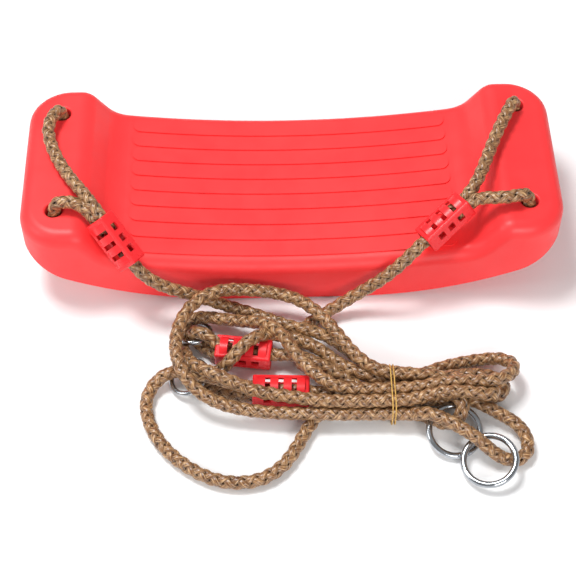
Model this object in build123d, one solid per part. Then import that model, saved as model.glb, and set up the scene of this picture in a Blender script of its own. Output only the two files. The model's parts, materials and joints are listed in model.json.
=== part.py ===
"""Board swing: a blow-moulded seat, two ropes with clamps and rings, and a tied hank of rope.

Millimetres, +Z up. The origin is on the floor under the middle of the seat. +X runs along the
seat to its right end, and +Y to its rear edge. The ropes lie on the floor in front of the seat.
"""
from build123d import *
import math
import os

# ---------------------------------------------------------------- seat
SEAT_LENGTH = 430.0
SEAT_WIDTH = 165.0
SEAT_WALL = 2.6
MIDDLE_HEIGHT = 41.0  # top of the seat over the floor, half way along
END_HEIGHT = 80.0  # top of the raised ends
TOP_BOW_RADIUS = 900.0  # the top bows up towards both ends
TROUGH_HALF = 145.0  # from the middle to the foot of the raised ends
SHOULDER_HALF = 165.0  # from the middle to the top of the raised ends
TROUGH_ROUND = 24.0
SHOULDER_ROUND = 16.0
FLAT_HALF = 50.0  # the part of the underside that stands on the floor
TIP_HEIGHT = 49.4  # the underside curves up from there to this height at the seat's ends
CORNER_RADIUS = 34.0  # in plan
TOP_EDGE_ROUND = 11.0
OVERRUN = 12.0  # the outline's length past the plan, which trims it

HOLE_DIAMETER = 14.0
HOLE_X = 187.0
HOLE_Y = 52.0
HOLE_ROUND = 1.8

BAR_COUNT = 9
BAR_HALF_LENGTH = 131.0
BAR_ZONE = 146.0  # all the bars and their gaps, front to rear
BAR_GAP = 1.6
BAR_PROUD = 1.1
BAR_CORNER = 6.0

# ---------------------------------------------------------------- ropes and fittings
ROPE_DIAMETER = 10.0

CLAMP_LENGTH = 44.0
CLAMP_WIDTH = 20.0
CLAMP_THICK = 16.0
CLAMP_WALL = 2.0
CLAMP_RIBS = 4
CLAMP_SLOT = 4.0  # gap between ribs, along the clamp
CLAMP_RIB_RISE = 2.6  # the ribs' crowns over the housing's top
CLAMP_RIB_INSET = 0.25  # between a rib's foot and the housing's side
CLAMP_END = 1.6  # plain length at each end, past the ribs
SLOT_INSET = 1.5  # from the channel's walls
WINDOW_LENGTH = 5.8
WINDOW_HEIGHT = 6.0
WINDOW_RISE = 0.8  # the side windows' middle over the clamp's
CLAMP_ROUND = 1.6
LOCK_CLEARANCE = 0.15
TOOTH_COUNT = 5
TOOTH_PITCH = 9.2
TOOTH_HALF = 3.6
TOOTH_HEIGHT = 1.2

HANGING_RING_OUTER = 44.0
HANGING_RING_WIRE = 5.0
ADJUSTER_RING_OUTER = 34.0
ADJUSTER_RING_WIRE = 4.0

TIE_WIRE = 1.0
TIE_PITCH = 2.4
TIE_CLEARANCE = 0.3

# Where the middle of each clamp is, which way its rope runs, and which way its ribbed face looks.
CLAMPS = {
    "left_lower": {"at": (-138, -77.5, 70.8), "along": (25, -24.5, -26), "face": (-0.52, -0.78, 0.34)},
    "right_lower": {"at": (120, -65, 71.5), "along": (-33.2, -24, -18.5), "face": (-0.5, 0.02, 0.86)},
    "left_upper": {"at": (-40.5, -143, 10.2), "along": (43, -6, 0), "face": (0, -0.1, 1)},
    "right_upper": {"at": (-12, -180, 10.2), "along": (44, -2, 0), "face": (0, 0.06, 1)},
}

# Middle of each ring, and how steeply it rises towards +X and towards +Y.
RINGS = {
    "rear_hanging_ring": {"at": (118.5, -218.5, 8.6), "rise": (-0.1, 0.3), "kind": "hanging"},
    "front_hanging_ring": {"at": (142, -246, 10.6), "rise": (0.2, 0.15), "kind": "hanging"},
    "left_adjuster_ring": {"at": (-81.5, -122, 8.5), "rise": (0.0, -0.42), "kind": "adjuster"},
    "right_adjuster_ring": {"at": (-83, -164, 8.4), "rise": (0.38, 0.0), "kind": "adjuster"},
}

# Routes of the ropes' free stretches, as points on the rope's middle line.
ROUTES = {
    # from the clamp down the rear hole, under the seat, and up the front hole to the clamp
    "left_bridle_rope": [
        (-141.6, -72.3, 79.1), (-148, -66, 86), (-154.5, -58.5, 91.5), (-163, -45, 91.5), (-175, -26, 88),
        (-186, -6, 87), (-194, 14, 88.5), (-196, 32, 90.5), (-187, 52, 89), (-187.3, 52.3, 56), (-187, 52, 25.5),
        (-187, 29, 26.7), (-187.5, 0, 26.9), (-187, -29, 26.7), (-187, -52, 25.5), (-187.3, -52.3, 56),
        (-187, -52, 89), (-170, -52.5, 90), (-160.5, -57.5, 86), (-153.5, -64, 80.5), (-145.8, -71.5, 74.3),
    ],
    "right_bridle_rope": [
        (125.9, -57, 74.8), (134.5, -50.7, 79.6), (144, -41, 85), (152, -25, 88), (159, -7, 88),
        (167, 12, 89), (176, 31, 90), (187, 52, 89), (187.3, 52.3, 56), (187, 52, 25.5), (187, 29, 26.7),
        (187.5, 0, 26.9), (187, -29, 26.7), (187, -52, 25.5), (187.3, -52.3, 56), (187, -52, 89),
        (170, -57.5, 90.5), (156, -57, 89.5), (146, -54, 86), (137.5, -56.5, 81), (129, -62.5, 76.5),
    ],
    "left_lead_rope": [
        (-132, -83.4, 64.5), (-125.4, -89.9, 57.7), (-117, -96, 50), (-105, -98, 40), (-90, -97, 30),
        (-73, -96, 20), (-54, -98, 11), (-35, -104, 9), (-18, -113, 11), (-3, -123, 15), (14, -128, 16),
        (30, -134, 13),
    ],
    "right_lead_rope": [
        (110.5, -71.9, 66), (103.8, -76.7, 62.4), (95, -83, 57), (84, -89.5, 48), (69, -93.5, 34),
        (53, -95, 21), (37, -99, 11), (22, -106, 6), (8, -116, 5), (1, -129, 5), (0, -142, 5), (6, -154, 5),
        (19, -164, 5), (34, -171, 5),
    ],
    "loop_a_rope": [
        (34, -137, 22), (22, -117, 21), (5, -100, 20), (-15, -94, 22), (-38, -94, 27), (-60, -97, 31),
        (-78, -108, 32), (-89, -124, 30), (-93, -142, 30), (-92, -160, 30), (-86, -176, 28), (-74, -189, 23),
        (-57, -196, 17), (-36, -200, 14), (-13, -202.5, 13.5), (11, -204, 14.5), (34, -205, 14),
    ],
    "loop_b_rope": [
        (34, -188, 23), (20, -180, 25), (7, -168, 27), (-2, -155, 29), (-10, -140, 29), (-22, -125.5, 24.5),
        (-37, -118, 16), (-55, -112, 11.5), (-73, -108.5, 11.6), (-86, -112.5, 11.5), (-88.8, -124, 7.5),
        (-89, -131, 5), (-88.7, -138, 5), (-87.3, -143.5, 12.5), (-85.5, -149, 18.5), (-83, -157.5, 21.5),
        (-77, -167, 27.5),
        (-66, -175, 31),
        (-50, -182, 28), (-32, -189, 24), (-10, -193, 23), (12, -197, 22.7), (34, -199, 22.5),
    ],
    "loop_c_rope": [
        (34, -160, 14.5), (20, -145, 14), (5, -136, 15), (-9, -132.5, 15.5), (-20, -133, 20.5),
        (-29, -139, 26.5), (-38, -146, 28), (-47, -154, 23.5), (-56.5, -159.5, 12), (-66, -159.5, 5),
        (-76, -158, 5), (-85, -158.5, 7), (-93, -160.5, 11), (-101, -162.5, 11), (-111, -168.5, 6),
        (-117, -184, 5), (-113, -206, 5), (-100, -228, 5),
        (-80, -246, 5), (-57, -257, 5), (-32, -257, 5), (-13, -246, 5), (-1, -228, 5), (8, -210, 5),
        (20, -194, 5), (34, -188, 5),
    ],
    "left_eye_rope": [
        (-52, -145.5, 10.3), (-61, -143, 8), (-68.5, -136.5, 5.2), (-75.5, -131, 5), (-80.5, -127.5, 9),
        (-80.5, -127.5, 16), (-75.5, -130.5, 21.3), (-68, -134, 20.5), (-65, -135.7, 17.7),
    ],
    "left_eye_end_rope": [(-65, -135.7, 17.7), (-61, -138, 14), (-52, -139.5, 10.3)],
    "right_eye_rope": [
        (-24, -182.5, 10.4), (-36, -182.5, 8), (-48, -180, 5.5), (-61, -176, 5), (-73, -171, 5),
        (-80.5, -168, 9), (-81, -167.5, 16), (-74.5, -170.5, 21), (-62, -174, 20.5), (-50, -176, 16),
    ],
    "right_eye_end_rope": [(-50, -176, 16), (-38, -177, 12.5), (-26, -177, 10.4)],
    "left_tail_rope": [
        (-27, -145, 10.2), (-17, -146.5, 10.4), (-7, -148.5, 13.5), (4, -152, 15.5), (16, -158, 15),
        (31, -167, 14),
    ],
    "right_tail_rope": [(0, -180.5, 10.2), (11, -181.5, 10.5), (22, -184, 12), (33, -187, 13)],
    "fold_d_rope": [
        (88, -170, 5), (103, -162, 5), (121, -156, 5), (141, -152.5, 5.5), (159, -153, 9), (169, -162, 15),
        (167, -175, 21), (155, -184, 26), (138, -187, 28), (120, -186.5, 28), (103, -187.5, 25.5),
        (88, -188.5, 23),
    ],
    "fold_e_rope": [
        (88, -176.5, 13.7), (106, -173, 12), (126, -169, 10), (145, -167.5, 8), (158, -171, 6.5),
        (162, -180, 6), (155, -187.5, 6), (140, -189.5, 6), (122, -187, 5.5), (104, -187.5, 5),
        (88, -188.5, 5),
    ],
    "fold_f_rope": [
        (88, -199, 23), (104, -197, 28), (120, -197, 31), (136, -198, 29), (148, -197, 24), (151, -190, 18),
        (142, -182.5, 17), (124, -178.5, 18.5), (106, -176.5, 21), (88, -175, 22.5),
    ],
    # under the rear ring's wire, up through the ring, and back over its wire
    "rear_ring_fold_rope": [
        (86, -199, 5), (96, -202, 5), (105, -206.5, 5), (113, -211, 6), (121, -212, 12), (126, -206, 21),
        (122, -196.5, 23), (112, -190.5, 19), (100, -187, 15), (86, -185.5, 13.7),
    ],
    # over the front ring's rear wire, down through the ring, and out under its right wire
    "front_ring_fold_rope": [
        (86, -206, 13.5), (93, -208.5, 19), (101, -212, 23), (111, -217, 22.5), (122, -224, 21.5),
        (132, -231, 20.5),
        (142, -238, 14), (153, -243, 6.5), (165, -243.5, 5), (173, -236, 5), (173, -223, 6.5),
        (166, -213, 9), (154, -205, 10), (142, -198, 12.5), (130, -193, 14), (117, -191, 12.5),
        (103, -193, 12), (86, -194, 13.5),
    ],
}

# Cross-sections of the tied hank: x, then its front, rear and top.
HANK_SECTIONS = [
    (22.0, -209.0, -122.0, 28.0),
    (46.0, -209.0, -140.0, 28.5),
    (68.0, -209.5, -167.0, 28.5),
    (78.0, -209.5, -167.0, 28.5),
    (96.0, -208.0, -164.0, 28.5),
]
HANK_ROUND = 9.0
TIE_X = 73.0


# ---------------------------------------------------------------- seat
def bow_height(x):
    """Height of the seat's top at x, between the raised ends."""
    return MIDDLE_HEIGHT + TOP_BOW_RADIUS - math.sqrt(TOP_BOW_RADIUS**2 - x**2)


def belly_radius():
    """Radius of the underside's curve from its flat part up to the ends."""
    run = SEAT_LENGTH / 2 - FLAT_HALF
    return (run**2 + TIP_HEIGHT**2) / (2 * TIP_HEIGHT)


def belly_height(x):
    """Height of the underside at x."""
    beyond = max(0.0, abs(x) - FLAT_HALF)
    return belly_radius() - math.sqrt(belly_radius() ** 2 - beyond**2)


def side_outline(inset=0.0, lift=0.0):
    """The seat's outline from the front, drawn in by inset, its top raised by lift, its ends uncut."""
    half = SEAT_LENGTH / 2 + OVERRUN
    slope = math.atan2(END_HEIGHT - bow_height(TROUGH_HALF), SHOULDER_HALF - TROUGH_HALF)
    shift = inset * math.tan(slope / 2)
    trough = (TROUGH_HALF + shift, bow_height(TROUGH_HALF) - inset + lift)
    shoulder = (SHOULDER_HALF + shift, END_HEIGHT - inset + lift)
    radius = belly_radius() - inset
    spread = half - FLAT_HALF
    tip = inset + radius - math.sqrt(radius**2 - spread**2)
    middle_angle = math.asin(spread / radius) / 2
    belly = (FLAT_HALF + radius * math.sin(middle_angle), inset + radius * (1 - math.cos(middle_angle)))
    with BuildSketch(Plane.XZ) as outline:
        with BuildLine():
            for side in (1, -1):
                Line((0, inset), (side * FLAT_HALF, inset))
                ThreePointArc((side * FLAT_HALF, inset), (side * belly[0], belly[1]), (side * half, tip))
                Line((side * half, tip), (side * half, shoulder[1]))
                Line((side * half, shoulder[1]), (side * shoulder[0], shoulder[1]))
                Line((side * shoulder[0], shoulder[1]), (side * trough[0], trough[1]))
            ThreePointArc((-trough[0], trough[1]), (0, MIDDLE_HEIGHT - inset + lift), (trough[0], trough[1]))
        make_face()
        rounds = [
            (trough, TROUGH_ROUND + inset),
            (shoulder, SHOULDER_ROUND - inset),
        ]
        for point, size in rounds:
            corners = outline.vertices()
            fillet([v for v in corners if abs(abs(v.X) - point[0]) < 0.01 and abs(v.Y - point[1]) < 0.01], size)
    return outline.sketch


def plan_prism(inset, bottom, top):
    """An upright block with the seat's rounded plan, drawn in by inset."""
    with BuildSketch(Plane.XY.offset(bottom)) as plan:
        RectangleRounded(SEAT_LENGTH - 2 * inset, SEAT_WIDTH - 2 * inset, CORNER_RADIUS - inset)
    return extrude(plan.sketch, top - bottom)


def seat_body(inset):
    """The seat's outer form, or the hollow inside it when inset is the wall."""
    depth = SEAT_WIDTH - 2 * inset
    block = extrude(side_outline(inset), SEAT_WIDTH / 2 + OVERRUN, both=True)
    body = block & plan_prism(inset, -5, END_HEIGHT + 5)
    top_edges = [e for e in body.edges() if is_top_rim(e, depth)]
    return fillet(top_edges, TOP_EDGE_ROUND - inset)


def is_top_rim(edge, depth):
    """True for an edge that runs round the top of the body's side walls."""
    place = edge.center(CenterOf.BOUNDING_BOX)
    size = edge.bounding_box().size
    upright = size.X < 0.5 and size.Y < 0.5
    across = size.X < 0.5 and size.Y > depth - 1
    top = END_HEIGHT if abs(place.X) > SHOULDER_HALF else bow_height(min(abs(place.X), TROUGH_HALF))
    return not upright and not across and place.Z > (top + belly_height(place.X)) / 2


def hole_places():
    """The middle of each rope hole."""
    return [(sx * HOLE_X, sy * HOLE_Y) for sx in (-1, 1) for sy in (-1, 1)]


def make_seat():
    """One hollow moulding with nine raised bars and a sleeve round each rope hole."""
    outer = seat_body(0)
    hollow = seat_body(SEAT_WALL)
    raised = extrude(side_outline(0, BAR_PROUD), SEAT_WIDTH / 2, both=True)
    pitch = BAR_ZONE / BAR_COUNT
    bars = []
    for i in range(BAR_COUNT):
        y = (i - (BAR_COUNT - 1) / 2) * pitch
        with BuildSketch(Plane.XY.offset(MIDDLE_HEIGHT - 5)) as shape:
            with Locations((0, y)):
                RectangleRounded(2 * BAR_HALF_LENGTH, pitch - BAR_GAP, BAR_CORNER)
        bars.append(extrude(shape.sketch, 40))
    sleeves = []
    for x, y in hole_places():
        sleeve = Cylinder(HOLE_DIAMETER / 2 + SEAT_WALL, 90, align=(Align.CENTER, Align.CENTER, Align.MIN))
        sleeves.append(Pos(x, y, 0) * sleeve)
    hollow = hollow - sleeves
    seat = outer + [raised & bar for bar in bars]
    seat = seat - hollow
    for x, y in hole_places():
        bore = Pos(x, y, -1) * Cylinder(
            HOLE_DIAMETER / 2, END_HEIGHT + 10, align=(Align.CENTER, Align.CENTER, Align.MIN)
        )
        seat = seat - bore
    mouths = [
        e
        for e in seat.edges().filter_by(GeomType.CIRCLE)
        if abs(e.radius - HOLE_DIAMETER / 2) < 0.01 and abs(e.center(CenterOf.BOUNDING_BOX).Z - END_HEIGHT) < 0.1
    ]
    return fillet(mouths, HOLE_ROUND)


# ---------------------------------------------------------------- rope clamp
def clamp_plane(place):
    """Plane of a clamp: x along its rope, z out of its ribbed face."""
    along = Vector(*place["along"]).normalized()
    face = Vector(*place["face"])
    face = (face - along * face.dot(along)).normalized()
    return Plane(origin=place["at"], x_dir=along, z_dir=face)


def make_clamp():
    """The two halves of a rope clamp, lying along x with the ribbed face up."""
    channel_width = CLAMP_WIDTH - 2 * CLAMP_WALL
    rib_half = CLAMP_WIDTH / 2 - CLAMP_RIB_INSET
    rib_pitch = (CLAMP_LENGTH - 2 * CLAMP_END) / CLAMP_RIBS
    rib_length = rib_pitch - CLAMP_SLOT
    top = CLAMP_THICK / 2
    foot = top - CLAMP_WALL
    shell = Box(CLAMP_LENGTH, CLAMP_WIDTH, CLAMP_THICK)
    shell = fillet(shell.edges().filter_by(Axis.X), CLAMP_ROUND)
    shell = fillet(shell.faces().sort_by(Axis.Z)[-1].outer_wire().edges().filter_by(Axis.Y), CLAMP_ROUND)
    channel = Pos(0, 0, -CLAMP_WALL) * Box(2 * CLAMP_LENGTH, channel_width, CLAMP_THICK)
    housing = shell - channel
    for i in range(CLAMP_RIBS - 1):
        x = (i - (CLAMP_RIBS - 2) / 2) * rib_pitch
        housing = housing - Pos(x, 0, top) * Box(CLAMP_SLOT, channel_width - 2 * SLOT_INSET, 4 * CLAMP_WALL)
        for side in (-1, 1):
            window = Box(WINDOW_LENGTH, 4 * CLAMP_WALL, WINDOW_HEIGHT)
            housing = housing - Pos(x, side * CLAMP_WIDTH / 2, WINDOW_RISE) * window
    for i in range(CLAMP_RIBS):
        x = (i - (CLAMP_RIBS - 1) / 2) * rib_pitch
        with BuildSketch(Plane.YZ.offset(x - rib_length / 2)) as rib:
            with BuildLine():
                Line((-rib_half, foot), (rib_half, foot))
                ThreePointArc((-rib_half, foot), (0, top + CLAMP_RIB_RISE), (rib_half, foot))
            make_face()
        housing = housing + extrude(rib.sketch, rib_length)
    plate_width = channel_width - 2 * LOCK_CLEARANCE
    plate_middle = CLAMP_WALL / 2 - top
    lock = Pos(0, 0, plate_middle) * Box(CLAMP_LENGTH, plate_width, CLAMP_WALL)
    for i in range(TOOTH_COUNT):
        x = (i - (TOOTH_COUNT - 1) / 2) * TOOTH_PITCH
        with BuildSketch(Plane.XZ.offset(-plate_width / 2)) as tooth:
            with Locations((x, plate_middle)):
                crest = CLAMP_WALL / 2 + TOOTH_HEIGHT
                Polygon((-TOOTH_HALF, 0), (TOOTH_HALF, 0), (0, crest), align=None)
        lock = lock + extrude(tooth.sketch, plate_width)
    return housing, lock


# ---------------------------------------------------------------- rings, ropes, hank, tie
def make_ring(place):
    """A closed ring of round wire."""
    hanging = place["kind"] == "hanging"
    outer = HANGING_RING_OUTER if hanging else ADJUSTER_RING_OUTER
    wire = HANGING_RING_WIRE if hanging else ADJUSTER_RING_WIRE
    rise_x, rise_y = place["rise"]
    ring = Torus((outer - wire) / 2, wire / 2)
    return Plane(origin=place["at"], z_dir=(-rise_x, -rise_y, 1)) * ring


def bend_radii(points):
    """The largest round that each corner's two runs allow."""
    radii = []
    for before, here, after in zip(points, points[1:], points[2:]):
        run_in = Vector(*here) - Vector(*before)
        run_out = Vector(*after) - Vector(*here)
        half_turn = math.radians(run_in.get_angle(run_out)) / 2
        radii.append(0.45 * min(run_in.length, run_out.length) / math.tan(half_turn))
    return radii


def make_rope(name, points):
    """A plain round tube along the route, with its bends printed and its volume compared."""
    radii = bend_radii(points)
    path = FilletPolyline(*points, radius=radii)
    start = Plane(origin=path @ 0, z_dir=path % 0)
    rope = sweep(start * Circle(ROPE_DIAMETER / 2), path=path)
    expected = math.pi * (ROPE_DIAMETER / 2) ** 2 * path.length
    print(
        f"{name}: length {path.length:.0f}, volume ratio {rope.volume / expected:.4f}, "
        f"tightest bend {min(radii):.0f}, bends {[round(r) for r in radii]}"
    )
    return rope


def hank_section(x, front, rear, top, grow=0.0):
    """A rounded upright section of the hank at x."""
    with BuildSketch(Plane(origin=(x, (front + rear) / 2, top / 2), x_dir=(0, 1, 0), z_dir=(1, 0, 0))) as section:
        RectangleRounded(rear - front + 2 * grow, top - 0.6 + 2 * grow, HANK_ROUND + grow)
    return section.sketch


def make_hank():
    """The tied stretch of both ropes, as one closed solid."""
    return loft([hank_section(*numbers) for numbers in HANK_SECTIONS], ruled=True)


def make_tie():
    """A thin wire tie, wound twice round the hank's waist."""
    waist = HANK_SECTIONS[2]
    grow = TIE_CLEARANCE + TIE_WIRE / 2
    turns = []
    for offset in (-TIE_PITCH / 2, TIE_PITCH / 2):
        loop = hank_section(TIE_X + offset, *waist[1:], grow=grow).faces()[0].outer_wire()
        start = Plane(origin=loop @ 0, z_dir=loop % 0)
        turns.append(sweep(start * Circle(TIE_WIRE / 2), path=loop))
    return Compound(children=turns)


def save(shape, name):
    """Writes one node."""
    export_step(shape, f"parts/{name}.step")


def main():
    os.makedirs("parts", exist_ok=True)
    save(make_seat(), "seat")
    housing, lock = make_clamp()
    for name, place in CLAMPS.items():
        plane = clamp_plane(place)
        save(plane * housing, f"{name}_clamp_housing")
        save(plane * lock, f"{name}_clamp_lock")
    for name, place in RINGS.items():
        save(make_ring(place), name)
    for name, points in ROUTES.items():
        save(make_rope(name, points), name)
    save(make_hank(), "tied_hank")
    save(make_tie(), "twist_tie")


main()
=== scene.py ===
"""The looks of a board swing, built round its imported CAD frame.

Metres, in the CAD frame. The seat, clamps, rings and tie keep their CAD shapes and get finished
materials. The two ropes and the two bridles are braided here, each as one whole length.
"""

import json
import math

import bpy
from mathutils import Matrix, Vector


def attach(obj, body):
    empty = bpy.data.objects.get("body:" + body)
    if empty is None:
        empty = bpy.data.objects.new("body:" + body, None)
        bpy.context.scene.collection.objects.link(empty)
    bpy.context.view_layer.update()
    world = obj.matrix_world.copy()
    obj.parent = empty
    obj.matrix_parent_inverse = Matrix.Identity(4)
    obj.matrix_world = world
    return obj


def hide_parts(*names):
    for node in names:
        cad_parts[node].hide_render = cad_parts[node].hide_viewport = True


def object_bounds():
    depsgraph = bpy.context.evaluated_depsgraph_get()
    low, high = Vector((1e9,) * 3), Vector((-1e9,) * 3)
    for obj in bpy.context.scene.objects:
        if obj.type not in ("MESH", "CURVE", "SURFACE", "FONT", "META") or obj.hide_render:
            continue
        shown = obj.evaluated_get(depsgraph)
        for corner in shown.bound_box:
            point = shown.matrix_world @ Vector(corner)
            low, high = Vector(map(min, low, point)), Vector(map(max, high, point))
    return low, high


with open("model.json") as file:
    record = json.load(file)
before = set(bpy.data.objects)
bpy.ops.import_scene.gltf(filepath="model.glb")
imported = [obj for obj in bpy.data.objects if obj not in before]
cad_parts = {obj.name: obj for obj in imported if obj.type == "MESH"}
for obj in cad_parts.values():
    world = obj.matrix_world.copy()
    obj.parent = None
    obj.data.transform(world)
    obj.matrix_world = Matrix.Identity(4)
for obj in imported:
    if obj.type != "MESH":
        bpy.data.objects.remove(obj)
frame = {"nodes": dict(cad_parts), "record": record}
cad_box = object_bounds()

# ---------------------------------------------------------------- camera
camera_data = bpy.data.cameras.new("camera")
camera_data.sensor_width = 36.0
camera_data.lens = 93.4
camera = bpy.data.objects.new("camera", camera_data)
camera.location = (-0.0189, -0.8124, 0.9752)
camera.rotation_euler = (math.radians(37.17), math.radians(0.191), math.radians(-1.404))
bpy.context.collection.objects.link(camera)
bpy.context.scene.camera = camera

# ---------------------------------------------------------------- routes of the ropes
SAME_POINT = 0.0005  # points of a route that are closer than this are one point
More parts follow.
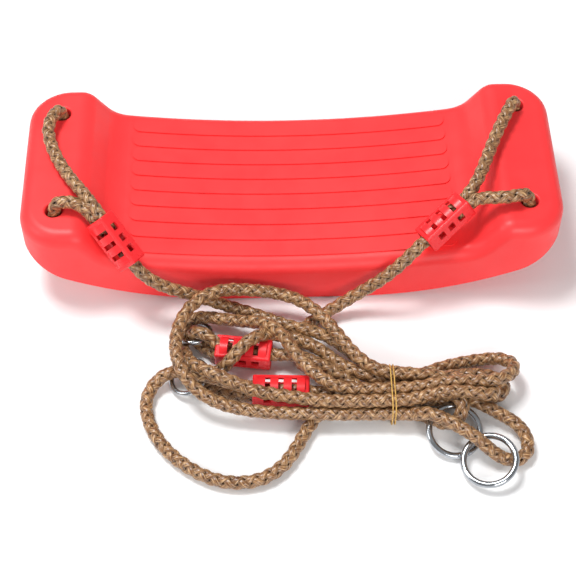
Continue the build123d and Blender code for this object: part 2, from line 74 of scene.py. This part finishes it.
# Each stretch of rope outside the hank and the clamps, from its exit on.
STRETCHES = {
    "left_bridle_rope": [
        (-0.1416, -0.0723, 0.0791), (-0.148, -0.066, 0.086), (-0.1545, -0.0585, 0.0915),
        (-0.163, -0.045, 0.0915), (-0.175, -0.026, 0.088), (-0.186, -0.006, 0.087),
        (-0.194, 0.014, 0.0885), (-0.196, 0.032, 0.0905), (-0.187, 0.052, 0.089),
        (-0.1873, 0.0523, 0.056), (-0.187, 0.052, 0.0255), (-0.187, 0.029, 0.0267),
        (-0.1875, 0.0, 0.0269), (-0.187, -0.029, 0.0267), (-0.187, -0.052, 0.0255),
        (-0.1873, -0.0523, 0.056), (-0.187, -0.052, 0.089), (-0.17, -0.0525, 0.09),
        (-0.1605, -0.0575, 0.086), (-0.1535, -0.064, 0.0805), (-0.1458, -0.0715, 0.0743),
    ],
    "right_bridle_rope": [
        (0.1259, -0.057, 0.0748), (0.1345, -0.0507, 0.0796), (0.144, -0.041, 0.085),
        (0.152, -0.025, 0.088), (0.159, -0.007, 0.088), (0.167, 0.012, 0.089), (0.176, 0.031, 0.09),
        (0.187, 0.052, 0.089), (0.1873, 0.0523, 0.056), (0.187, 0.052, 0.0255), (0.187, 0.029, 0.0267),
        (0.1875, 0.0, 0.0269), (0.187, -0.029, 0.0267), (0.187, -0.052, 0.0255),
        (0.1873, -0.0523, 0.056), (0.187, -0.052, 0.089), (0.17, -0.0575, 0.0905),
        (0.156, -0.057, 0.0895), (0.146, -0.054, 0.086), (0.1375, -0.0565, 0.081),
        (0.129, -0.0625, 0.0765),
    ],
    "left_lead_rope": [
        (-0.132, -0.0834, 0.0645), (-0.1254, -0.0899, 0.0577), (-0.117, -0.096, 0.05),
        (-0.105, -0.098, 0.04), (-0.09, -0.097, 0.03), (-0.073, -0.096, 0.02), (-0.054, -0.098, 0.011),
        (-0.035, -0.104, 0.009), (-0.018, -0.113, 0.011), (-0.003, -0.123, 0.015),
        (0.014, -0.128, 0.016), (0.03, -0.134, 0.013),
    ],
    "right_lead_rope": [
        (0.1105, -0.0719, 0.066), (0.1038, -0.0767, 0.0624), (0.095, -0.083, 0.057),
        (0.084, -0.0895, 0.048), (0.069, -0.0935, 0.034), (0.053, -0.095, 0.021),
        (0.037, -0.099, 0.011), (0.022, -0.106, 0.006), (0.008, -0.116, 0.005), (0.001, -0.129, 0.005),
        (0.0, -0.142, 0.005), (0.006, -0.154, 0.005), (0.019, -0.164, 0.005), (0.034, -0.171, 0.005),
    ],
    "loop_a_rope": [
        (0.034, -0.137, 0.022), (0.022, -0.117, 0.021), (0.005, -0.1, 0.02), (-0.015, -0.094, 0.022),
        (-0.038, -0.094, 0.027), (-0.06, -0.097, 0.031), (-0.078, -0.108, 0.032),
        (-0.089, -0.124, 0.03), (-0.093, -0.142, 0.03), (-0.092, -0.16, 0.03), (-0.086, -0.176, 0.028),
        (-0.074, -0.189, 0.023), (-0.057, -0.196, 0.017), (-0.036, -0.2, 0.014),
        (-0.013, -0.2025, 0.0135), (0.011, -0.204, 0.0145), (0.034, -0.205, 0.014),
    ],
    "loop_b_rope": [
        (0.034, -0.188, 0.023), (0.02, -0.18, 0.025), (0.007, -0.168, 0.027), (-0.002, -0.155, 0.029),
        (-0.01, -0.14, 0.029), (-0.022, -0.1255, 0.0245), (-0.037, -0.118, 0.016),
        (-0.055, -0.112, 0.0115), (-0.073, -0.1085, 0.0116), (-0.086, -0.1125, 0.0115),
        (-0.0888, -0.124, 0.0075), (-0.089, -0.131, 0.005), (-0.0887, -0.138, 0.005),
        (-0.0873, -0.1435, 0.0125), (-0.0855, -0.149, 0.0185), (-0.083, -0.1575, 0.0215),
        (-0.077, -0.167, 0.0275), (-0.066, -0.175, 0.031), (-0.05, -0.182, 0.028),
        (-0.032, -0.189, 0.024), (-0.01, -0.193, 0.023), (0.012, -0.197, 0.0227),
        (0.034, -0.199, 0.0225),
    ],
    "loop_c_rope": [
        (0.034, -0.16, 0.0145), (0.02, -0.145, 0.014), (0.005, -0.136, 0.015),
        (-0.009, -0.1325, 0.0155), (-0.02, -0.133, 0.0205), (-0.029, -0.139, 0.0265),
        (-0.038, -0.146, 0.028), (-0.047, -0.154, 0.0235), (-0.0565, -0.1595, 0.012),
        (-0.066, -0.1595, 0.005), (-0.076, -0.158, 0.005), (-0.085, -0.1585, 0.007),
        (-0.093, -0.1605, 0.011), (-0.101, -0.1625, 0.011), (-0.111, -0.1685, 0.006),
        (-0.117, -0.184, 0.005), (-0.113, -0.206, 0.005), (-0.1, -0.228, 0.005),
        (-0.08, -0.246, 0.005), (-0.057, -0.257, 0.005), (-0.032, -0.257, 0.005),
        (-0.013, -0.246, 0.005), (-0.001, -0.228, 0.005), (0.008, -0.21, 0.005), (0.02, -0.194, 0.005),
        (0.034, -0.188, 0.005),
    ],
    "left_eye_rope": [
        (-0.052, -0.1455, 0.0103), (-0.061, -0.143, 0.008), (-0.0685, -0.1365, 0.0052),
        (-0.0755, -0.131, 0.005), (-0.0805, -0.1275, 0.009), (-0.0805, -0.1275, 0.016),
        (-0.0755, -0.1305, 0.0213), (-0.068, -0.134, 0.0205), (-0.065, -0.1357, 0.0177),
    ],
    "left_eye_end_rope": [
        (-0.065, -0.1357, 0.0177), (-0.061, -0.138, 0.014), (-0.052, -0.1395, 0.0103),
    ],
    "right_eye_rope": [
        (-0.024, -0.1825, 0.0104), (-0.036, -0.1825, 0.008), (-0.048, -0.18, 0.0055),
        (-0.061, -0.176, 0.005), (-0.073, -0.171, 0.005), (-0.0805, -0.168, 0.009),
        (-0.081, -0.1675, 0.016), (-0.0745, -0.1705, 0.021), (-0.062, -0.174, 0.0205),
        (-0.05, -0.176, 0.016),
    ],
    "right_eye_end_rope": [
        (-0.05, -0.176, 0.016), (-0.038, -0.177, 0.0125), (-0.026, -0.177, 0.0104),
    ],
    "left_tail_rope": [
        (-0.027, -0.145, 0.0102), (-0.017, -0.1465, 0.0104), (-0.007, -0.1485, 0.0135),
        (0.004, -0.152, 0.0155), (0.016, -0.158, 0.015), (0.031, -0.167, 0.014),
    ],
    "right_tail_rope": [
        (0.0, -0.1805, 0.0102), (0.011, -0.1815, 0.0105), (0.022, -0.184, 0.012),
        (0.033, -0.187, 0.013),
    ],
    "fold_d_rope": [
        (0.088, -0.17, 0.005), (0.103, -0.162, 0.005), (0.121, -0.156, 0.005),
        (0.141, -0.1525, 0.0055), (0.159, -0.153, 0.009), (0.169, -0.162, 0.015),
        (0.167, -0.175, 0.021), (0.155, -0.184, 0.026), (0.138, -0.187, 0.028), (0.12, -0.1865, 0.028),
        (0.103, -0.1875, 0.0255), (0.088, -0.1885, 0.023),
    ],
    "fold_e_rope": [
        (0.088, -0.1765, 0.0137), (0.106, -0.173, 0.012), (0.126, -0.169, 0.01),
        (0.145, -0.1675, 0.008), (0.158, -0.171, 0.0065), (0.162, -0.18, 0.006),
        (0.155, -0.1875, 0.006), (0.14, -0.1895, 0.006), (0.122, -0.187, 0.0055),
        (0.104, -0.1875, 0.005), (0.088, -0.1885, 0.005),
    ],
    "fold_f_rope": [
        (0.088, -0.199, 0.023), (0.104, -0.197, 0.028), (0.12, -0.197, 0.031), (0.136, -0.198, 0.029),
        (0.148, -0.197, 0.024), (0.151, -0.19, 0.018), (0.142, -0.1825, 0.017),
        (0.124, -0.1785, 0.0185), (0.106, -0.1765, 0.021), (0.088, -0.175, 0.0225),
    ],
    "rear_ring_fold_rope": [
        (0.086, -0.199, 0.005), (0.096, -0.202, 0.005), (0.105, -0.2065, 0.005),
        (0.113, -0.211, 0.006), (0.121, -0.212, 0.012), (0.126, -0.206, 0.021),
        (0.122, -0.1965, 0.023), (0.112, -0.1905, 0.019), (0.1, -0.187, 0.015),
        (0.086, -0.1855, 0.0137),
    ],
    "front_ring_fold_rope": [
        (0.086, -0.206, 0.0135), (0.093, -0.2085, 0.019), (0.101, -0.212, 0.023),
        (0.111, -0.217, 0.0225), (0.122, -0.224, 0.0215), (0.132, -0.231, 0.0205),
        (0.142, -0.238, 0.014), (0.153, -0.243, 0.0065), (0.165, -0.2435, 0.005),
        (0.173, -0.236, 0.005), (0.173, -0.223, 0.0065), (0.166, -0.213, 0.009), (0.154, -0.205, 0.01),
        (0.142, -0.198, 0.0125), (0.13, -0.193, 0.014), (0.117, -0.191, 0.0125),
        (0.103, -0.193, 0.012), (0.086, -0.194, 0.0135),
    ],
}

# The points between those stretches, inside the hank and the upper clamps.
INSIDE = {
    "floor_pass_left": [
        (0.046, -0.146, 0.007), (0.066, -0.164, 0.005),
    ],
    "top_pass_b": [
        (0.06, -0.1885, 0.0225),
    ],
    "top_pass_c": [
        (0.06, -0.199, 0.0225),
    ],
    "top_pass_a": [
        (0.062, -0.172, 0.0228), (0.046, -0.157, 0.0225),
    ],
    "middle_pass_d": [
        (0.06, -0.205, 0.0137),
    ],
    "middle_pass_c": [
        (0.072, -0.1938, 0.0137), (0.052, -0.182, 0.01),
    ],
    "clamp_pass_left": [
        (-0.04, -0.143, 0.0102),
    ],
    "floor_pass_right": [
        (0.06, -0.184, 0.005),
    ],
    "middle_pass_a": [
        (0.06, -0.173, 0.0137),
    ],
    "floor_pass_front": [
        (0.06, -0.196, 0.005),
    ],
    "middle_pass_b": [
        (0.072, -0.1832, 0.0137), (0.052, -0.188, 0.017),
    ],
    "clamp_pass_right": [
        (-0.012, -0.18, 0.0102),
    ],
}

# Each whole rope, with its stretches in order. A minus means that a stretch runs the other way.
ROPES = {
    "left_bridle": {"length": 0.414, "order": ["left_bridle_rope"], "replaces": ["left_bridle_rope"]},
    "right_bridle": {"length": 0.410, "order": ["right_bridle_rope"], "replaces": ["right_bridle_rope"]},
    "left_main_rope": {
        "length": 1.93,
        "order": [
            "left_lead_rope", "floor_pass_left", "fold_d_rope", "top_pass_b", "loop_b_rope", "top_pass_c",
            "fold_f_rope", "top_pass_a", "loop_a_rope", "middle_pass_d", "front_ring_fold_rope",
            "middle_pass_c", "-left_tail_rope", "clamp_pass_left", "left_eye_rope", "left_eye_end_rope",
        ],
        "replaces": [
            "left_lead_rope", "fold_d_rope", "loop_b_rope", "fold_f_rope", "loop_a_rope",
            "front_ring_fold_rope", "left_tail_rope", "left_eye_rope", "left_eye_end_rope", "tied_hank",
        ],
    },
    "right_main_rope": {
        "length": 1.28,
        "order": [
            "right_lead_rope", "floor_pass_right", "-fold_e_rope", "middle_pass_a", "loop_c_rope",
            "floor_pass_front", "rear_ring_fold_rope", "middle_pass_b", "-right_tail_rope",
            "clamp_pass_right", "right_eye_rope", "right_eye_end_rope",
        ],
        "replaces": [
            "right_lead_rope", "fold_e_rope", "loop_c_rope", "rear_ring_fold_rope", "right_tail_rope",
            "right_eye_rope", "right_eye_end_rope",
        ],
    },
}


def route(order):
    """The points of a whole rope, stretch after stretch."""
    points = []
    for name in order:
        stretch = (STRETCHES | INSIDE)[name.lstrip("-")]
        for point in stretch[::-1] if name.startswith("-") else stretch:
            if not points or (Vector(point) - points[-1]).length > SAME_POINT:
                points.append(Vector(point))
    return points


def middle_line(name, points):
    """The rope's middle line: a smooth spline steered by its route, read back as close points."""
    curve = bpy.data.curves.new(name, "CURVE")
    curve.dimensions = "3D"
    spline = curve.splines.new("NURBS")
    spline.points.add(len(points) - 1)
    for knot, point in zip(spline.points, points):
        knot.co = (*point, 1.0)
    spline.order_u = 3
    spline.use_endpoint_u = True
    curve.resolution_u = 20
    holder = bpy.data.objects.new(name, curve)
    mesh = bpy.data.meshes.new_from_object(holder)
    line = [vertex.co.copy() for vertex in mesh.vertices]
    bpy.data.meshes.remove(mesh)
    bpy.data.objects.remove(holder)
    bpy.data.curves.remove(curve)
    return line


def spaced(line, step):
    """The line again, as points an even step apart."""
    total = sum((b - a).length for a, b in zip(line, line[1:]))
    count = max(2, round(total / step))
    even = total / count
    points = [line[0].copy()]
    walked = 0.0
    for a, b in zip(line, line[1:]):
        run = (b - a).length
        while run > 0 and walked + run >= even * len(points) - 1e-9 and len(points) <= count:
            points.append(a.lerp(b, (even * len(points) - walked) / run))
        walked += run
    return points[: count + 1]


def frames_along(points):
    """At each point, the line's direction and two directions across it that never twist."""
    frames = []
    across = None
    for i, point in enumerate(points):
        ahead = (points[min(i + 1, len(points) - 1)] - points[max(i - 1, 0)]).normalized()
        if across is None:
            across = ahead.orthogonal().normalized()
        across = (across - ahead * across.dot(ahead)).normalized()
        frames.append((point, ahead, across, ahead.cross(across)))
    return frames


# ---------------------------------------------------------------- braid
STRANDS = 3  # wound each way
BRAID_RADIUS = 0.0034  # from the rope's middle to a strand's
WEAVE = 0.00065  # how far a strand rises and dips over the others
TURN = 209.0  # radians round the rope in a metre of it
STRAND_HALF_WIDTH = 0.0027
STRAND_HALF_THICK = 0.0014
STRAND_SIDES = 10
CORE_RADIUS = 0.0022
STEP = 0.0011  # between cross-sections
CROWN_SHARE = 0.62  # of a corner's height, what the weave gives; the strand's round gives the rest


def strand_corners(frames, way, i):
    """The corners of one strand's cross-sections, and how high each lies, which sets how much painted
    shade the rope's colour gets there. The core is way 0 and gets height 0, full painted shade.
    """
    crossing = math.pi / (STRANDS * TURN)
    wide, thick = (STRAND_HALF_WIDTH, STRAND_HALF_THICK) if way else (CORE_RADIUS, CORE_RADIUS)
    corners, heights = [], []
    for j, (point, ahead, across, third) in enumerate(frames):
        along = j * STEP
        angle = 2 * math.pi * i / STRANDS + way * TURN * along
        out = across * math.cos(angle) + third * math.sin(angle)
        around = third * math.cos(angle) - across * math.sin(angle)
        rise = way * math.cos(math.pi * along / crossing)
        run = (ahead + around * (way * TURN * BRAID_RADIUS)).normalized()
        side = out.cross(run)
        middle = point + out * (BRAID_RADIUS + WEAVE * rise) if way else point
        for k in range(STRAND_SIDES):
            turn = 2 * math.pi * k / STRAND_SIDES
            corners.append(middle + side * (wide * math.cos(turn)) + out * (thick * math.sin(turn)))
            # Painted shade: the height is lower where the strand dips under the others and on its inner
            # side, so the colour darkens there.
            height = CROWN_SHARE * (rise + 1) / 2 + (1 - CROWN_SHARE) * math.sin(turn)
            heights.append(max(0.0, height) if way else 0.0)
    return corners, heights


def tube_faces(first, count, number):
    """The faces of a closed tube of count cross-sections, and the UV of each face's corners."""
    faces, uv = [], []
    for j in range(count - 1):
        here, there = j * STEP, (j + 1) * STEP
        for k in range(STRAND_SIDES):
            a = first + j * STRAND_SIDES + k
            b = first + j * STRAND_SIDES + (k + 1) % STRAND_SIDES
            low, high = number + k / STRAND_SIDES, number + (k + 1) / STRAND_SIDES
            faces.append((a, b, b + STRAND_SIDES, a + STRAND_SIDES))
            uv += [(here, low), (here, high), (there, high), (there, low)]
    last = first + (count - 1) * STRAND_SIDES
    faces.append(tuple(range(first + STRAND_SIDES - 1, first - 1, -1)))
    faces.append(tuple(range(last, last + STRAND_SIDES)))
    uv += [(0.0, number)] * (2 * STRAND_SIDES)
    return faces, uv


def braid(name, points):
    """A rope of strands wound both ways, each going over and under those wound the other way."""
    frames = frames_along(spaced(points, STEP))
    strands = [(way, i) for way in (1, -1) for i in range(STRANDS)]
    core = (0, 0)
    vertices, faces, strand_uv, painted_light, shade = [], [], [], [], []
    for number, (way, i) in enumerate([*strands, core]):
        corners, heights = strand_corners(frames, way, i)
        tube, uv = tube_faces(len(vertices), len(frames), number)
        tone = 0.5 + 0.5 * math.sin(2.4 * number + 1.0)  # a different one for each strand
        vertices += corners
        faces += tube
        strand_uv += uv
        painted_light += heights
        shade += [tone] * len(corners)
    mesh = bpy.data.meshes.new(name)
    mesh.from_pydata(vertices, [], faces)
    layer = mesh.uv_layers.new(name="strand")
    layer.data.foreach_set("uv", [c for pair in strand_uv for c in pair])
    # The first attribute is the painted shade mask of the yarn colour, low in the gaps and on the core;
    # the second is each strand's own tone.
    for label, values in (("painted_light", painted_light), ("shade", shade)):
        mesh.attributes.new(label, "FLOAT", "POINT").data.foreach_set("value", values)
    mesh.shade_smooth()
    rope = bpy.data.objects.new(name, mesh)
    bpy.context.collection.objects.link(rope)
    return rope


ropes = []
for name, facts in ROPES.items():
    line = middle_line(name, route(facts["order"]))
    rope = braid(name, line)
    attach(rope, "root")
    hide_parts(*facts["replaces"])
    ropes.append(rope)


# ---------------------------------------------------------------- materials
class Finish:
    """A procedural material, with a few short ways to add and join its nodes."""

    def __init__(self, name, **settings):
        self.material = bpy.data.materials.new(name)
        self.material.use_nodes = True
        self.tree = self.material.node_tree
        self.shader = self.tree.nodes["Principled BSDF"]
        for socket, value in settings.items():
            self.shader.inputs[socket.replace("_", " ")].default_value = value

    def node(self, kind, **settings):
        made = self.tree.nodes.new(kind)
        for key, value in settings.items():
            setattr(made, key, value)
        return made

    def join(self, source, target):
        self.tree.links.new(source, target)

    def place(self, scale=(1, 1, 1), uv=None):
        """Coordinates in metres, or a UV layer's, stretched by scale."""
        mapping = self.node("ShaderNodeMapping")
        mapping.inputs["Scale"].default_value = scale
        if uv:
            self.join(self.node("ShaderNodeUVMap", uv_map=uv).outputs["UV"], mapping.inputs["Vector"])
        else:
            coordinates = self.node("ShaderNodeTexCoord").outputs["Object"]
            self.join(coordinates, mapping.inputs["Vector"])
        return mapping.outputs["Vector"]

    def noise(self, where, scale, detail=3.0, roughness=0.5):
        """Noise values between about 0.3 and 0.7."""
        made = self.node("ShaderNodeTexNoise")
        made.inputs["Scale"].default_value = scale
        made.inputs["Detail"].default_value = detail
        made.inputs["Roughness"].default_value = roughness
        self.join(where, made.inputs["Vector"])
        return made.outputs["Fac"]

    def spread(self, value, low, high, start=0.35, end=0.65):
        """value between start and end becomes a value between low and high."""
        made = self.node("ShaderNodeMapRange")
        for socket, number in zip(("From Min", "From Max", "To Min", "To Max"), (start, end, low, high)):
            made.inputs[socket].default_value = number
        self.join(value, made.inputs["Value"])
        return made.outputs["Result"]

    def blend(self, factor, first, second):
        """Two colours, each a value or another node's output, mixed by factor."""
        made = self.node("ShaderNodeMix", data_type="RGBA")
        self.join(factor, made.inputs["Factor"])
        # The node has several sockets called A, B and Result: these are the ones for colours.
        for index, colour in ((6, first), (7, second)):
            if isinstance(colour, tuple):
                made.inputs[index].default_value = (*colour, 1.0)
            else:
                self.join(colour, made.inputs[index])
        return made.outputs[2]

    def bump(self, height, distance, strength, under=None):
        made = self.node("ShaderNodeBump")
        made.inputs["Distance"].default_value = distance
        made.inputs["Strength"].default_value = strength
        self.join(height, made.inputs["Height"])
        if under:
            self.join(under, made.inputs["Normal"])
        return made.outputs["Normal"]

    def set(self, socket, source):
        self.join(source, self.shader.inputs[socket])


def moulded(name, light, deep, rough, grain):
    """Moulded plastic: a faint cloud in its colour, satin patches and a fine grain."""
    finish = Finish(name, Specular_IOR_Level=0.36)
    cloud = finish.spread(finish.noise(finish.place(), 14.0, 4.0), 0.0, 1.0)
    finish.set("Base Color", finish.blend(cloud, deep, light))
    worn = finish.noise(finish.place(), 60.0, 6.0, 0.6)
    finish.set("Roughness", finish.spread(worn, rough - 0.05, rough + 0.07))
    fine = finish.noise(finish.place(), 1400.0, 2.0)
    waves = finish.noise(finish.place(), 35.0, 2.0)
    relief = finish.bump(waves, 0.0006, 0.25)
    finish.set("Normal", finish.bump(fine, 0.00008, grain, relief))
    return finish.material


def steel():
    """Bright zinc-plated wire, with faint draw marks and dull specks."""
    finish = Finish("zinc_steel_finish", Metallic=1.0)
    cloud = finish.spread(finish.noise(finish.place(), 120.0, 4.0), 0.0, 1.0)
    finish.set("Base Color", finish.blend(cloud, (0.36, 0.38, 0.41), (0.56, 0.58, 0.61)))
    marks = finish.noise(finish.place((1, 1, 9)), 420.0, 5.0, 0.65)
    finish.set("Roughness", finish.spread(marks, 0.12, 0.26))
    finish.set("Normal", finish.bump(marks, 0.00005, 0.35))
    return finish.material


def gold_tie():
    """A thin gold paper-covered wire, creased across."""
    finish = Finish("gold_tie_finish", Metallic=0.35, Specular_IOR_Level=0.6)
    folds = finish.noise(finish.place(), 900.0, 4.0)
    tone = finish.spread(folds, 0.0, 1.0)
    finish.set("Base Color", finish.blend(tone, (0.52, 0.27, 0.05), (0.86, 0.56, 0.16)))
    finish.set("Roughness", finish.spread(folds, 0.28, 0.5))
    finish.set("Normal", finish.bump(folds, 0.0002, 0.6))
    return finish.material


def braided_fibre():
    """Silky brown-gold yarn: fine filament lines along each strand with painted highlight streaks, crowns
    in full colour and painted shade darkening the gaps.
    """
    finish = Finish("rope_finish", Specular_IOR_Level=0.75, Sheen_Weight=0.1, Sheen_Roughness=0.4)
    finish.shader.inputs["Sheen Tint"].default_value = (1.0, 0.8, 0.55, 1.0)
    filament_sheen = finish.noise(finish.place((190, 17, 1), uv="strand"), 1.0, 3.0, 0.6)
    patches = finish.noise(finish.place((70, 3.1, 1), uv="strand"), 1.0, 2.0)
    painted_light = finish.node("ShaderNodeAttribute", attribute_name="painted_light").outputs["Fac"]
    shade = finish.node("ShaderNodeAttribute", attribute_name="shade").outputs["Fac"]
    yarn = finish.blend(finish.spread(patches, 0.0, 1.0), (0.115, 0.04, 0.011), (0.27, 0.118, 0.04))
    yarn = finish.blend(finish.spread(shade, 0.0, 0.35, 0.0, 1.0), yarn, (0.18, 0.073, 0.023))
    # Painted highlight: pale streaks along the filament lines over the yarn colour.
    lit = finish.blend(finish.spread(filament_sheen, 0.0, 0.9, 0.47, 0.7), yarn, (0.84, 0.53, 0.26))
    # Painted shade: near-black in the gaps between strands and over the whole core, full colour on the
    # crowns.
    height = finish.spread(painted_light, 0.0, 1.0, 0.05, 0.75)
    finish.set("Base Color", finish.blend(height, (0.02, 0.008, 0.003), lit))
    finish.set("Roughness", finish.spread(filament_sheen, 0.26, 0.42))
    finish.set("Normal", finish.bump(filament_sheen, 0.00025, 0.7))
    return finish.material


seat_finish = moulded("seat_finish", (0.97, 0.045, 0.047), (0.92, 0.037, 0.041), 0.42, 0.25)
clamp_finish = moulded("clamp_finish", (0.93, 0.03, 0.035), (0.8, 0.018, 0.025), 0.27, 0.12)
FINISHES = {
    "seat_plastic": seat_finish,
    "clamp_plastic": clamp_finish,
    "zinc_steel": steel(),
    "gold_wire": gold_tie(),
    "rope": braided_fibre(),
}
for part in frame["record"]["subparts"]:
    node = frame["nodes"][part["node"]]
    node.data.materials.clear()
    node.data.materials.append(FINISHES[part["material_slot"]])
for rope in ropes:
    rope.data.materials.append(FINISHES["rope"])

# ---------------------------------------------------------------- floor, lights and world
FLOOR_SIZE = 6.0
FLOOR_DROP = 0.0005  # below the CAD's lowest point
bpy.ops.mesh.primitive_plane_add(size=FLOOR_SIZE, location=(0, 0, cad_box[0][2] - FLOOR_DROP))
floor = bpy.context.object
floor.name = "floor"
floor_finish = Finish("floor_finish", Roughness=0.7)
mottle = floor_finish.spread(floor_finish.noise(floor_finish.place(), 3.0), 0.0, 1.0)
floor_finish.set("Base Color", floor_finish.blend(mottle, (0.93, 0.93, 0.935), (0.96, 0.96, 0.96)))
floor.data.materials.append(floor_finish.material)

LIGHTS_AIM = Vector((0, -0.08, 0.03))


def soft_light(name, at, size, power):
    """A square studio light that faces the object."""
    data = bpy.data.lights.new(name, "AREA")
    data.size = size
    data.energy = power
    light = bpy.data.objects.new(name, data)
    light.location = at
    light.rotation_euler = (LIGHTS_AIM - Vector(at)).to_track_quat("-Z", "Y").to_euler()
    bpy.context.collection.objects.link(light)


soft_light("top_light", (-0.5, 0.25, 1.7), 0.55, 25)
soft_light("front_light", (0.5, -1.7, 1.0), 0.8, 17)
soft_light("left_light", (-1.6, -0.4, 1.0), 0.7, 8)
world = bpy.data.worlds.new("studio")
world.use_nodes = True
backdrop = world.node_tree.nodes["Background"].inputs
backdrop["Color"].default_value = (1.0, 1.0, 1.0, 1.0)
backdrop["Strength"].default_value = 0.33
bpy.context.scene.world = world
bpy.context.scene.view_settings.view_transform = "Standard"
